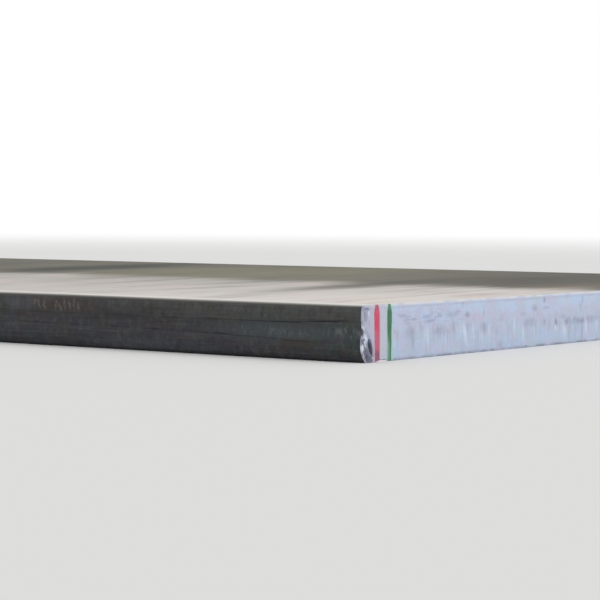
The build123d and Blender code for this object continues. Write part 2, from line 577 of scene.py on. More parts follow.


# How far across the top face the pale band of dust and painted reflection reaches, how wide its border is and how far
# that strays
DUST_AND_SHEEN_REACH = 850 * MM
DUST_AND_SHEEN_BORDER = 130 * MM
DUST_AND_SHEEN_STRAY = 150 * MM

# Stains across the top face: middle and size (along and across, in mm), lean in degrees, strength and colour
TOP_STAINS = (
    ((120, 1060), (280, 480), -6, 0.4, "#80756d"),
    ((130, 900), (90, 240), -4, 0.3, "#ad9c8b"),
    ((1240, 1280), (560, 760), -6, 0.6, "#817f6b"),
    ((620, 1500), (520, 620), -8, 0.5, "#67655d"),
    ((430, 1230), (320, 680), -9, 0.8, "#575550"),
    ((150, 1500), (480, 680), -6, 0.7, "#5c5953"),
    ((250, 1780), (1100, 560), 0, 0.6, "#54534e"),
    ((550, 880), (130, 900), -8, 0.85, "#615e57"),
    ((695, 440), (45, 280), 0, 0.4, "#87847e"),
    ((825, 720), (55, 340), -3, 0.4, "#76736d"),
    ((1060, 700), (60, 420), -10, 0.3, "#7d7a74"),
    ((1260, 800), (110, 480), -13, 0.35, "#6d6b65"),
    ((1360, 880), (80, 200), 0, 0.45, "#96806f"),
    ((1795, 1300), (210, 980), -7, 1.0, "#474843"),
    ((2350, 1300), (500, 900), -6, 0.45, "#5d5c57"),
    ((3050, 1150), (240, 900), 8, 0.6, "#63615b"),
    ((3700, 1350), (520, 700), -5, 0.5, "#8a7b70"),
    ((4420, 950), (160, 1000), -6, 0.5, "#63615b"),
)
# Colours of the bare scale from the marked end to the plain one, by distance in metres
WEATHER = (
    (0.0, "#6f6860"),
    (0.35, "#65625c"),
    (0.8, "#78766a"),
    (1.4, "#7c7a69"),
    (1.9, "#65645c"),
    (2.9, "#777468"),
    (4.2, "#67655e"),
    (5.2, "#78756a"),
    (6.0, "#6c6962"),
)


def mill_scale(sizes, colours):
    """Hot-rolled mill scale: dull olive grey, streaked across the plate, with pale dust and a painted reflection over
    its near half.
    """
    material, tree, shader, place = start_finish(sizes, "hot_rolled_mill_scale")
    along, across, down = add(tree, "ShaderNodeSeparateXYZ", {0: place}).outputs
    top = between(tree, down, -1.0, sizes.thickness / 2, 1 * MM)
    slanted = add(tree, "ShaderNodeMapping", {"Vector": place, "Rotation": (0, 0, radians(8))})
    grain = mottle(tree, slanted, (26, 700, 900), 0.36, 0.64, 1.0, 5.0)
    cloud = mottle(tree, slanted, (150, 420, 900), 0.32, 0.68, 2.0, 4.0)

    # Bare scale
    drift = add(tree, "ShaderNodeMath", {0: cloud, 1: 0.25, 2: along}, operation="MULTIPLY_ADD")
    share = add(tree, "ShaderNodeMath", {0: drift, 1: sizes.length}, operation="DIVIDE")
    bare = add(tree, "ShaderNodeValToRGB", {0: share}, stops=[(d / sizes.length, c) for d, c in WEATHER])
    rust = mottle(tree, place, (8, 14, 20), 0.66, 0.74, 4.0)
    dull = mottle(tree, slanted, (80, 300, 900), 0.46, 0.66, 3.0, 5.0)
    warm = mottle(tree, place, (190, 260, 900), 0.5, 0.68, 10.0)
    worn = mottle(tree, slanted, (16, 200, 900), 0.44, 0.68, 11.0, 4.0)
    bare = layered(
        tree,
        bare,
        (0.25, colours.scale),
        (overlap(tree, warm, 0.45), "#80746a"),
        (overlap(tree, dull, 0.55), "#5f5e58"),
        (overlap(tree, grain, 0.25), "#8f8c7b"),
        (overlap(tree, worn, 0.3), "#65635a"),
        (overlap(tree, rust, 0.5), "#725b4c"),
    )

    # Dust and a painted reflection of the sky on the grazing top, brightest along the rolled edge and near the marked
    # end
    stray = mottle(tree, slanted, (120, 600, 400), 0.25, 0.75, 5.0, 5.0)
    reach = {0: stray, 1: -DUST_AND_SHEEN_STRAY, 2: across}
    reach = add(tree, "ShaderNodeMath", reach, operation="MULTIPLY_ADD")
    start = DUST_AND_SHEEN_REACH - DUST_AND_SHEEN_STRAY / 2
    dust_and_sheen_mask = {"Value": reach, 1: start + DUST_AND_SHEEN_BORDER, 2: start - DUST_AND_SHEEN_BORDER}
    dust_and_sheen_mask = overlap(tree, add(tree, "ShaderNodeMapRange", dust_and_sheen_mask, **SMOOTH), top)
    thin = add(tree, "ShaderNodeMapRange", {"Value": across, 1: 0.2, 2: 0.75, 4: 0.7})
    thin = overlap(tree, thin, add(tree, "ShaderNodeMapRange", {"Value": along, 1: 0.1, 2: 0.8, 3: 0.3}))
    far = add(tree, "ShaderNodeMapRange", {"Value": along, 1: 0.1, 2: 1.0, 4: 0.55})
    pink = mottle(tree, place, (150, 260, 900), 0.46, 0.64, 6.0)
    grey = mottle(tree, slanted, (40, 420, 900), 0.46, 0.66, 7.0, 5.0)
    # Band along the near edge of the top face that takes a painted highlight
    strip = between(tree, across, -1.0, 0.05, 0.02)
    dust_and_sheen = layered(
        tree,
        colours.dust_and_sheen,
        (far, "#a8a4a3"),
        (overlap(tree, thin, 0.8), "#9a9792"),
        (overlap(tree, pink, 0.5), "#d5c3be"),
        (overlap(tree, grey, 0.55), "#a5a19c"),
        (overlap(tree, grain, 0.25), "#e6e2dd"),
        # Painted highlight along the near edge of the top face
        (overlap(tree, strip, 0.6), "#e6e3de"),
    )
    # The pale band of dust and painted reflection over the near part of the top face
    skin = layered(tree, bare, (dust_and_sheen_mask, dust_and_sheen))
    uneven = ragged(tree, place, 70, 26)
    for (middle_along, middle_across), (wide, long), lean, strength, colour in TOP_STAINS:
        stain = blot(tree, uneven, (middle_along, middle_across, 0), (wide, long, 900), (0, 0, lean), 0.75)
        skin = layered(tree, skin, (overlap(tree, stain, top, strength), colour))

    grit = mottle(tree, place, (2.2, 2.2, 2.2), 0.3, 0.7, 8.0, 2.0)
    blister = mottle(tree, place, (14, 14, 14), 0.45, 0.75, 9.0)
    rough = add(tree, "ShaderNodeMapRange", {"Value": cloud, 3: 0.78, 4: 0.92})
    wire(tree, shader, {"Base Color": skin, "Roughness": rough, "Specular IOR Level": 0.2})
    wire(tree, shader, {"Normal": relief(tree, (grit, 0.03), (blister, 0.08))})
    return material


# Colours down a rolled edge, by share of the thickness: a pale rim that is a painted highlight, brownish head,
# blue-grey waist and a foot darkened by painted shade
EDGE_BANDS_AND_PAINTED_LIGHT = (
    # Painted highlight on the rim
    (0.0, "#dad6d1"),
    (0.02, "#96938f"),
    (0.04, "#525150"),
    (0.2, "#474645"),
    (0.31, "#424141"),
    (0.36, "#3b3c40"),
    (0.42, "#37383d"),
    (0.56, "#35353b"),
    (0.6, "#343339"),
    (0.76, "#333238"),
    (0.86, "#34353c"),
    # Painted shade darkening the foot towards the underside
    (0.91, "#2d2d33"),
    (0.96, "#222328"),
    (1.0, "#1b1c20"),
)
# Tints of the edge's scale, each in patches about as wide as a thumb
EDGE_TINTS = ("#383340", "#3d3f34", "#30403f", "#403531")

# Chalk tally strokes on the rolled edge: distance from the marked end, depth, height and width in mm, and lean
TALLY = (
    (777, 16, 15, 5, 18),
    (766, 20, 19, 5, -12),
    (752, 19, 22, 5, -6),
    (722, 21, 20, 5, 8),
    (711, 24, 14, 5, -22),
    (699, 20, 22, 5, -4),
    (686, 21, 17, 5, -9),
    (674, 19, 22, 5, 3),
    (663, 23, 16, 5, -12),
)


def rolled_edge(sizes, colours):
    """Dark scale of a rolled edge: mottled in faint tints, with a pale bruise and chalk strokes near its end, a painted
    highlight on its rim and painted shade at its foot and in its lap creases.
    """
    material, tree, shader, place = start_finish(sizes, "rolled_edge_scale")
    along, across, down = add(tree, "ShaderNodeSeparateXYZ", {0: place}).outputs
    band = add(tree, "ShaderNodeAttribute", attribute_name="band").outputs["Fac"]
    base = add(tree, "ShaderNodeValToRGB", {0: band}, stops=EDGE_BANDS_AND_PAINTED_LIGHT)
    sides = between(tree, band, 0.06, 0.95, 0.03)
    skin = layered(tree, base, (overlap(tree, sides, 0.15), colours.edge))
    for seed, tint in enumerate(EDGE_TINTS):
        patch = mottle(tree, place, (42, 42, 30), 0.48, 0.64, 1.3 * seed + 1, 3.0)
        skin = layered(tree, skin, (overlap(tree, patch, sides, 0.72), tint))

    # Lap creases: a dark line of painted shade, broken where the crease is closed and run out towards the marked end
    broken = mottle(tree, place, (130, 130, 900), 0.24, 0.52, 11.0, 2.0)
    upper = overlap(tree, between(tree, band, 0.328, 0.344, 0.008), broken, between(tree, along, 0.05, 9.0, 0.025))
    gaps = mottle(tree, place, (110, 110, 900), 0.5, 0.66, 12.0)
    lower = overlap(tree, between(tree, band, 0.558, 0.57, 0.006), gaps, between(tree, along, 0.22, 9.0, 0.1))
    foot = overlap(tree, between(tree, band, 0.735, 0.742, 0.008), mottle(tree, place, (90, 90, 900), 0.5, 0.62, 13.0))

    # Bruise and rust beside the marked end, and slanting flecks at the torn corner
    uneven = ragged(tree, place, 14, 5)
    upright = mottle(tree, place, (5, 5, 15), 0.46, 0.74, 14.5, 5.0)
    bruise = blot(tree, uneven, (190, 0, 49), (250, 900, 33), soft=0.8)
    scuffs = blot(tree, uneven, (190, 0, 50), (190, 900, 19), soft=0.8)
    bright = blot(tree, place, (200, 0, 17), (520, 900, 34), soft=0.6)
    dull = blot(tree, place, (590, 0, 24), (330, 900, 50), soft=0.6)
    violet = blot(tree, place, (700, 0, 66), (760, 900, 62), soft=0.5)
    blue = blot(tree, uneven, (490, 0, 85), (330, 900, 19), soft=0.6)
    wiped = blot(tree, uneven, (815, 0, 19), (70, 900, 26), soft=0.6)
    brown = blot(tree, uneven, (145, 0, 72), (75, 900, 14), soft=0.8)
    green = overlap(tree, blot(tree, place, (50, 0, 60), (110, 900, 56), soft=0.7), mottle(tree, place, (14, 14, 14), 0.46, 0.62, 22.0))
    slant = add(tree, "ShaderNodeMapping", {"Vector": place, "Rotation": (0, radians(28), 0)})
    flecks = mottle(tree, slant, (5, 5, 14), 0.57, 0.68, 15.0)
    chipped = either(tree, flecks, upright)
    nicks = overlap(tree, chipped, blot(tree, place, (32, 0, 49), (80, 900, 24), soft=0.7))
    cool = blot(tree, uneven, (8, 0, 24), (24, 900, 44), soft=0.8)
    rusty = blot(tree, uneven, (725, 0, 22), (190, 900, 38), soft=0.7)
    chips = [blot(tree, uneven, (s, 0, depth), (12, 900, 9), (0, 30, 0), 0.9) for s, depth in ((10, 49), (52, 46))]
    strokes = overlap(tree, chipped, blot(tree, place, (255, 0, 84), (90, 900, 18), soft=0.6))
    scratches = overlap(tree, flecks, blot(tree, place, (330, 0, 44), (110, 900, 12), soft=0.6))
    pale = mottle(tree, place, (12, 12, 15), 0.46, 0.74, 16.0, 5.0)
    dark = mottle(tree, place, (11, 11, 17), 0.46, 0.7, 17.0, 5.0)
    streaks = mottle(tree, place, (150, 150, 4.5), 0.48, 0.72, 18.0, 4.0)
    seams = mottle(tree, place, (190, 190, 3), 0.52, 0.68, 21.0, 4.0)
    skin = layered(
        tree,
        skin,
        (overlap(tree, bright, 0.3), "#55554f"),
        (overlap(tree, dull, 0.4), "#323233"),
        (overlap(tree, violet, 0.4), "#312f38"),
        (overlap(tree, blue, 0.6), "#444751"),
        (overlap(tree, wiped, 0.75), "#53565e"),
        (overlap(tree, pale, sides, 0.36), "#6c6d70"),
        (overlap(tree, dark, sides, 0.55), "#27282c"),
        (overlap(tree, streaks, sides, 0.28), "#646569"),
        (overlap(tree, seams, sides, 0.5), "#252629"),
        (overlap(tree, bruise, 0.75), "#444c4e"),
        (overlap(tree, scuffs, upright, 0.7), "#686f72"),
        (overlap(tree, brown, 0.5), "#3f302d"),
        (overlap(tree, rusty, 0.4), "#4b403c"),
        (overlap(tree, green, 0.5), "#2e483d"),
        (overlap(tree, strokes, 0.5), "#5d5b64"),
        (overlap(tree, scratches, 0.45), "#5d5b64"),
        (overlap(tree, cool, 0.35), "#4b5159"),
        (overlap(tree, nicks, 0.6), "#747a7d"),
        (overlap(tree, either(tree, *chips), 0.6), "#6c7374"),
        # Painted shade in the upper and lower lap creases
        (overlap(tree, upper, 0.6), "#25282b"),
        (overlap(tree, lower, 0.45), "#27282c"),
        (overlap(tree, foot, 0.35), "#54565d"),
    )
    crumbly = mottle(tree, place, (3, 3, 4), 0.36, 0.6, 19.0)
    for distance, depth, height, wide, lean in TALLY:
        stroke = blot(tree, uneven, (distance, 0, depth), (wide, 900, height), (0, lean, 0), 0.5)
        skin = layered(tree, skin, (overlap(tree, stroke, crumbly, 0.52), colours.chalk))

    grit = mottle(tree, place, (4, 4, 2.5), 0.3, 0.7, 20.0)
    rough = add(tree, "ShaderNodeMapRange", {"Value": pale, 3: 0.62, 4: 0.8})
    wire(tree, shader, {"Base Color": skin, "Roughness": rough, "Specular IOR Level": 0.3})
    wire(tree, shader, {"Normal": relief(tree, (grit, 0.15), (streaks, 0.25), (pale, 0.2))})
    return material


def paint_stripe(tree, uneven, middle, width, lean, taper):
    """Mask of a hand-painted stripe down the cut face: narrow under the rim, and down to this share at its foot."""
    _, across, down = add(tree, "ShaderNodeSeparateXYZ", {0: uneven}).outputs
    slant = add(tree, "ShaderNodeMath", {0: down, 1: -lean, 2: across}, operation="MULTIPLY_ADD")
    gap = add(tree, "ShaderNodeMath", {0: slant, 1: middle}, operation="SUBTRACT")
    gap = add(tree, "ShaderNodeMath", {0: gap}, operation="ABSOLUTE")
    head = add(tree, "ShaderNodeMapRange", {"Value": down, 1: 0.0, 2: 14 * MM, 3: 0.5})
    foot = add(tree, "ShaderNodeMapRange", {"Value": down, 1: 25 * MM, 2: 100 * MM, 3: 1.0, 4: taper})
    half = overlap(tree, head, foot, width / 2)
    inside = add(tree, "ShaderNodeMath", {0: half, 1: gap}, operation="SUBTRACT")
    rim = {"Value": inside, 1: -1.8 * MM, 2: 1.8 * MM}
    return add(tree, "ShaderNodeMapRange", rim, **SMOOTH)


# Colours down a cut face, by share of the thickness: pale rim, blue head, lavender middle and grey-blue foot, with
# painted shadow along its lowest edge
CUT_BANDS_AND_FOOT_SHADOW = (
    (0.0, "#d6d4d2"),
    (0.025, "#cdd0d8"),
    (0.05, "#b4bbcb"),
    (0.07, "#aab3c6"),
    (0.1, "#b8c8de"),
    (0.2, "#b8c4db"),
    (0.32, "#b9bdd3"),
    (0.5, "#b6bbce"),
    (0.66, "#aebbd0"),
    (0.94, "#a7b6cb"),
    # Painted shadow along the lowest edge of the cut face
    (0.972, "#8a92a4"),
    (1.0, "#6b7182"),
)
# Bare metal of the torn corner, from its bright flakes, which are partly painted glints, to the painted shade of its
# crack
BRIGHT_AND_GLINT, SILVER, LAVENDER, GREY, DUSK, SHADOW = "#e6edf4", "#c6cbda", "#b0b2c4", "#9395a7", "#62647a", "#373848"

# Marks of the torn corner: middle and size in mm (across and down), lean in degrees and colour; the darkest are painted
# shade in the notch and the crack and a painted shadow along the foot of the cut face
TORN_MARKS = (
    ((60, 45), (26, 120), 0, "#b8bac6"),
    ((17, 26), (38, 66), 0, LAVENDER),
    ((14, 82), (36, 58), -6, "#666a7e"),
    ((1, 16), (4, 30), 0, "#d3d9e8"),
    ((12, 6.5), (14, 5), 0, "#716d88"),
    ((9, 18), (11, 20), 0, GREY),
    ((17, 14), (8, 9), 0, "#c6c5d5"),
    ((18, 33), (6, 16), -8, "#a4a6b9"),
    # Bright flake, partly a painted glint
    ((0.5, 40), (11, 14), -36, BRIGHT_AND_GLINT),
    ((8, 53), (6, 18), -25, "#bccada"),
    # Painted shade in the notch
    ((1.5, 47.5), (9, 15), -25, "#2c2f36"),
    ((13, 57), (6, 14), -15, SILVER),
    # Bright flake, partly a painted glint
    ((11.5, 62), (3.5, 9), -10, BRIGHT_AND_GLINT),
    ((6, 62), (8, 6), -40, DUSK),
    # Bright flake, partly a painted glint
    ((-1, 75), (12, 16), 22, BRIGHT_AND_GLINT),
    ((9, 68), (4, 16), -18, SILVER),
    ((10, 81), (5, 18), -15, DUSK),
    ((15, 70), (4, 18), -18, GREY),
    # Painted shade in the crack
    ((26.5, 78), (6, 35), -10, SHADOW),
    ((33, 84), (5, 26), -10, GREY),
    ((4, 88), (7, 14), -15, GREY),
    ((2, 86), (6, 19), -18, "#c3cbd8"),
    ((14, 91), (7, 13), -8, "#453d4e"),
    ((8, 96), (8, 6), 0, "#a19ba9"),
    ((22, 95), (22, 12), 0, "#515b65"),
    ((31, 92), (6, 6), 20, "#b0aeb2"),
    ((36, 96), (4, 7), 0, "#c9bec6"),
    # Painted shadow along the foot of the cut face
    ((60, 96.6), (30, 2.4), 0, "#62627a"),
)
# Smudges and scorched ticks of the torch on the cut face, and paler runs: middle and size in mm (across and
# down), lean in degrees and strength
SMUDGES = (
    ((121, 23), (24, 6), 0, 0.4),
    ((135, 30), (20, 5), 0, 0.35),
    ((156, 30), (20, 5), 0, 0.4),
    ((198, 27), (28, 6), 0, 0.45),
    ((205, 35), (26, 6), 0, 0.5),
    ((214, 22), (5, 16), 0, 0.35),
    ((239, 26), (14, 8), 0, 0.5),
    ((275, 26), (30, 7), 0, 0.35),
    ((296, 23), (18, 7), 0, 0.4),
    ((315, 9), (5, 12), 0, 0.35),
    ((332, 29), (12, 10), 0, 0.7),
    ((389, 27), (6, 16), 0, 0.3),
    ((530, 35), (20, 6), 0, 0.25),
    ((572, 26), (18, 11), 0, 0.5),
    ((609, 11), (9, 10), 0, 0.6),
    ((616, 26), (26, 6), 0, 0.3),
    ((757, 14), (5, 20), 0, 0.4),
    ((750, 29), (5, 16), 0, 0.35),
    ((149, 54), (20, 22), -4, 0.4),
    ((152, 68), (10, 30), -4, 0.35),
    ((220, 56), (10, 22), -6, 0.25),
    ((242, 54), (28, 18), 0, 0.35),
    ((286, 50), (9, 22), -8, 0.4),
    ((332, 52), (16, 16), -6, 0.25),
    ((391, 56), (15, 20), -10, 0.5),
    ((542, 54), (20, 13), -10, 0.45),
    ((567, 51), (22, 15), 0, 0.35),
    ((610, 52), (9, 11), 0, 0.35),
    ((654, 56), (8, 13), -15, 0.85),
    ((681, 46), (22, 9), 0, 0.35),
    ((694, 57), (24, 12), -25, 0.6),
    ((745, 57), (120, 11), 0, 0.4),
    ((724, 54), (15, 9), -20, 0.55),
    ((741, 56), (13, 8), -10, 0.6),
    ((755, 57), (14, 9), -10, 0.75),
    ((776, 55), (17, 9), -25, 0.5),
    ((795, 53), (22, 9), 0, 0.4),
    ((816, 54), (15, 10), 0, 0.45),
    ((664, 68), (4, 20), 0, 0.4),
    ((703, 79), (6, 36), 0, 0.35),
    ((730, 77), (5, 36), 0, 0.3),
    ((756, 78), (6, 38), 0, 0.45),
    ((446, 90), (20, 14), 0, 0.35),
)
PALE_RUNS = (
    ((199, 61), (11, 30), -6, 0.35),
    ((324, 61), (8, 34), -10, 0.7),
    ((497, 57), (5, 24), 0, 0.5),
    ((530, 71), (7, 28), -6, 0.5),
    ((652, 67), (4, 12), 0, 0.8),
    ((663, 68), (3, 11), 0, 0.7),
    ((686, 71), (14, 28), -20, 0.55),
    ((773, 68), (10, 30), -8, 0.6),
    ((816, 68), (8, 28), 0, 0.5),
)


def flame_cut(sizes, colours):
    """Thin blue-grey oxide of a flame-cut face: smooth above, with soft drag lines below and torn bright metal, and
    painted shadow along its foot.
    """
    material, tree, shader, place = start_finish(sizes, "flame_cut_oxide")
    along, across, down = add(tree, "ShaderNodeSeparateXYZ", {0: place}).outputs
    share = add(tree, "ShaderNodeMath", {0: down, 1: sizes.thickness}, operation="DIVIDE")
    base = add(tree, "ShaderNodeValToRGB", {0: share}, stops=CUT_BANDS_AND_FOOT_SHADOW)
    skin = layered(tree, base, (overlap(tree, between(tree, share, 0.08, 0.95, 0.04), 0.2), colours.cut))

    # Drag lines start unevenly half way down; above them lie a smooth blue band and wavy mauve marks
    head = mottle(tree, place, (900, 26, 900), 0.25, 0.75, 1.0)
    start = add(tree, "ShaderNodeMath", {0: head, 1: -0.22, 2: share}, operation="MULTIPLY_ADD")
    fading = add(tree, "ShaderNodeMapRange", {"Value": share, 1: 0.58, 2: 0.92, 3: 1.0, 4: 0.4}, **SMOOTH)
    lower = overlap(tree, between(tree, start, 0.36, 2.0, 0.06), fading)
    slant = add(tree, "ShaderNodeMapping", {"Vector": place, "Rotation": (radians(4), 0, 0)})
    drag = mottle(tree, slant, (900, 8, 80), 0.46, 0.7, 2.0, 4.0)
    gleam = mottle(tree, slant, (900, 7, 60), 0.48, 0.72, 3.0, 4.0)
    waves = mottle(tree, ragged(tree, place, 20, 4), (900, 30, 3.5), 0.5, 0.64, 4.0)
    waves = overlap(tree, waves, blot(tree, place, (0, 190, 27), (900, 280, 28), soft=0.6))
    ticks = mottle(tree, slant, (900, 15, 12), 0.42, 0.7, 5.0)
    clusters = mottle(tree, place, (900, 160, 900), 0.4, 0.6, 6.0)
    ticks = overlap(tree, ticks, clusters, between(tree, share, 0.5, 0.6, 0.04), between(tree, across, 0.86, 9.0, 0.05))
    smoky = mottle(tree, slant, (900, 20, 22), 0.44, 0.68, 14.0, 4.0)
    smoky = overlap(tree, smoky, between(tree, start, 0.28, 0.5, 0.12))
    blue = mottle(tree, place, (900, 42, 22), 0.44, 0.64, 7.0)
    mauve = mottle(tree, place, (900, 36, 24), 0.44, 0.64, 8.0)
    green = mottle(tree, place, (900, 42, 26), 0.47, 0.66, 9.0)
    specks = mottle(tree, place, (900, 4, 6), 0.68, 0.76, 10.0)
    skin = layered(
        tree,
        skin,
        (overlap(tree, blue, 0.55), "#b0c5e2"),
        (overlap(tree, mauve, 0.55), "#bbb3c9"),
        (overlap(tree, green, 0.45), "#abbcc6"),
        (overlap(tree, smoky, 0.4), "#9498ab"),
        (overlap(tree, drag, lower, 0.45), "#979ab2"),
        (overlap(tree, gleam, lower, 0.5), "#cbd8ea"),
        (overlap(tree, waves, 0.6), "#9b9abb"),
        (overlap(tree, ticks, 0.6), "#8388a0"),
        (overlap(tree, specks, 0.5), "#8f93a8"),
    )
    uneven = ragged(tree, place, 9, 2.5)
    smudge = pale_run = 0.0
    for middle, size, lean, strength in SMUDGES:
        smudge = either(tree, smudge, cut_blot(tree, uneven, middle, size, lean, 0.85, strength))
    for middle, size, lean, strength in PALE_RUNS:
        pale_run = either(tree, pale_run, cut_blot(tree, uneven, middle, size, lean, 0.85, strength))
    skin = layered(tree, skin, (smudge, "#858aa0"), (pale_run, "#ccd8ea"))

    # Torn corner: bare metal, with painted glints on its brightest flakes and painted shade in its notch, its crack and
    # along the foot
    torn = add(tree, "ShaderNodeAttribute", attribute_name="torn").outputs["Fac"]
    shards = mottle(tree, place, (6, 5, 7), 0.35, 0.65, 11.0)
    metal = layered(tree, colours.torn, (overlap(tree, shards, 0.5), "#b9bccb"))
    broken = torn
    for middle, size, lean, colour in TORN_MARKS:
        mark = cut_blot(tree, uneven, middle, size, lean, 0.35, 0.9)
        metal = layered(tree, metal, (mark, colour))
        broken = either(tree, broken, mark)
    fibres = mottle(tree, place, (900, 5, 45), 0.42, 0.7, 15.0)
    fibres = overlap(tree, fibres, between(tree, across, 50 * MM, 72 * MM, 4 * MM))
    skin = layered(tree, skin, (broken, metal), (overlap(tree, fibres, 0.25), "#cbd4e2"))

    # Marking paint, worn thin in streaks, dull under the rim and at the foot
    wavy = ragged(tree, place, 25, 1.2)
    red = paint_stripe(tree, wavy, 41.0 * MM, 17 * MM, 0.021, 0.85)
    green = paint_stripe(tree, wavy, 79.3 * MM, 14 * MM, 0.004, 0.74)
    pink, mint = [between(tree, across, start * MM, end * MM, 5 * MM) for start, end in ((29, 54), (69, 92))]
    skin = layered(tree, skin, (overlap(tree, pink, 0.42), "#cba6b9"), (overlap(tree, mint, 0.42), "#a3c6bb"))
    thin = mottle(tree, place, (900, 6, 22), 0.4, 0.75, 12.0, 5.0)
    wear = add(tree, "ShaderNodeMapRange", {"Value": thin, 3: 1.0, 4: 0.85})
    ends = add(tree, "ShaderNodeMapRange", {"Value": share, 1: 0.13, 2: 0.04, 4: 0.6}, **SMOOTH)
    pale = add(tree, "ShaderNodeMapRange", {"Value": share, 1: 0.38, 2: 0.6, 4: 0.6}, **SMOOTH)
    foot = add(tree, "ShaderNodeMapRange", {"Value": share, 1: 0.74, 2: 0.86, 4: 0.85}, **SMOOTH)
    reds = layered(tree, colours.red, (ends, "#8b4f68"), (pale, "#b0607a"), (foot, "#7c4560"))
    worn = blot(tree, place, (0, 77, 80), (900, 7, 36), soft=0.7)
    greens = layered(tree, colours.green, (ends, "#4c7d6c"), (worn, "#6b9480"))
    skin = layered(tree, skin, (overlap(tree, red, wear), reds), (overlap(tree, green, wear), greens))
    drip = blot(tree, place, (0, 56, 99.6), (900, 30, 4), soft=0.4)
    skin = layered(tree, skin, (drip, "#ebe2e9"))

    fine = mottle(tree, place, (900, 1.6, 60), 0.3, 0.7, 13.0)
    painted = add(tree, "ShaderNodeMath", {0: red, 1: green}, operation="ADD")
    bare = add(tree, "ShaderNodeMath", {0: 1.0, 1: painted}, operation="SUBTRACT")
    metallic = add(tree, "ShaderNodeMapRange", {"Value": torn, 3: 0.15, 4: 0.5})
    rough = add(tree, "ShaderNodeMapRange", {"Value": torn, 3: 0.6, 4: 0.45})
    wire(tree, shader, {"Base Color": skin, "Metallic": overlap(tree, metallic, bare), "Roughness": rough})
    bumps = ((overlap(tree, drag, lower), -0.3), (overlap(tree, fine, lower), 0.1), (shards, 0.3), (painted, 0.1))
    wire(tree, shader, {"Normal": relief(tree, *bumps)})
    return material


class RolledPlate(bpy.types.Operator):
    """Models the plate's skin: lapped rolled edges, flame-cut ends and a torn corner"""

    bl_idname = "object.rolled_plate"
    bl_label = "Rolled plate"

    def execute(self, context):
        sizes = context.scene.plate_sizes
        colours = context.scene.plate_colours
        finishes = [finish(sizes, colours) for finish in (mill_scale, rolled_edge, flame_cut)]
        belts = [side_belt(sizes, finishes, *side) for side in SIDES]

        deselect()
        for belt in belts:
            belt.select_set(True)
        plate = belts[0]
        context.view_layer.objects.active = plate
        bpy.ops.object.join()
        plate.name = plate.data.name = "plate_skin"
        in_edit_mode(
            plate,
            "VERT",
            [
                (bpy.ops.mesh.select_all, {"action": "SELECT"}),
                (bpy.ops.mesh.remove_doubles, {"threshold": 0.01 * MM}),
            ],
        )

        # Finer faces where the corner is torn
        end = sizes.length / 2
        near = -sizes.width / 2
        select_where(
            plate,
            "polygons",
            lambda p: p.x > end - 24 * MM and p.y < near + 32 * MM and 1 * MM < p.z < sizes.thickness - 1 * MM,
        )
        in_edit_mode(plate, "FACE", [(bpy.ops.mesh.subdivide, {"number_cuts": 2})])

        # The two flat faces close the belt
        for level in (0.0, sizes.thickness):
            inner = sizes.strip / 2
            select_where(
                plate,
                "edges",
                lambda p: abs(p.z - level) < 0.01 * MM and abs(p.x) < end - inner and abs(p.y) < -near - inner,
            )
            in_edit_mode(plate, "EDGE", [(bpy.ops.mesh.edge_face_add, {})])
        in_edit_mode(
            plate,
            "VERT",
            [
                (bpy.ops.mesh.select_all, {"action": "SELECT"}),
                (bpy.ops.mesh.normals_make_consistent, {"inside": False}),
            ],
        )

        mesh = plate.data
        flat = np.empty(len(mesh.vertices) * 3)
        mesh.vertices.foreach_get("co", flat)
        points = flat.reshape(-1, 3)
        points[:, 1] -= (points[:, 1].min() + points[:, 1].max()) / 2
        mesh.vertices.foreach_set("co", flat)
        x, y, z = points.copy().T
        down = sizes.thickness - z

        torn = np.zeros(len(points))
        beside = np.flatnonzero((x > end - TORN_BLEND) & (y < near + TORN_BLEND))
        for index in beside:
            share = torn_share(max(y[index] - near, 0.0), z[index])
            torn[index] = min(3 * share, 1.0) * (1 - (end - x[index]) / TORN_BLEND)
        mesh.attributes.new("torn", "FLOAT", "POINT").data.foreach_set("value", torn)

        side = ramp_weight(np.abs(y), -near - 5 * MM, -near - 4 * MM) * ramp_weight(np.minimum(z, down), 0, 9 * MM)
        cut = ramp_weight(np.abs(x), end - 0.3 * MM, end) * ramp_weight(down, 20 * MM, 45 * MM)
        cut *= ramp_weight(z, 0, 4 * MM) * ramp_weight(-near - np.abs(y), 5 * MM, 20 * MM)
        close = 1 - ramp_weight(end - x, 1.2, 2.5)
        weigh(plate, "dents", side)
        weigh(plate, "pits", side * close)
        weigh(plate, "flutes", cut * (1 - ramp_weight(y - near, 0.9, 1.4)) * (x > 0))
        weigh(plate, "shards", torn * ramp_weight(np.minimum(z, down), 0, 4 * MM))
        press_relief(plate, "dents", sizes.dent, (0.07, 0.07, 0.016), 3.0)
        press_relief(plate, "pits", sizes.dent / 2, (0.013, 0.013, 0.005), 5.0)
        press_relief(plate, "flutes", sizes.flute, (0.5, 0.0048, 0.12), 7.0)
        press_relief(plate, "shards", sizes.shard, (0.011, 0.009, 0.016), 9.0, hard=True)
        plate.vertex_groups.clear()

        # The relief stays within the solid's box
        mesh.vertices.foreach_get("co", flat)
        mesh.vertices.foreach_set("co", np.clip(flat.reshape(-1, 3), LOW, HIGH).ravel())
        mesh.update()

        deselect()
        plate.select_set(True)
        context.view_layer.objects.active = plate
        bpy.ops.object.shade_smooth_by_angle(angle=radians(38))
        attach(plate, "root")
        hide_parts(NODE)
        return {"FINISHED"}


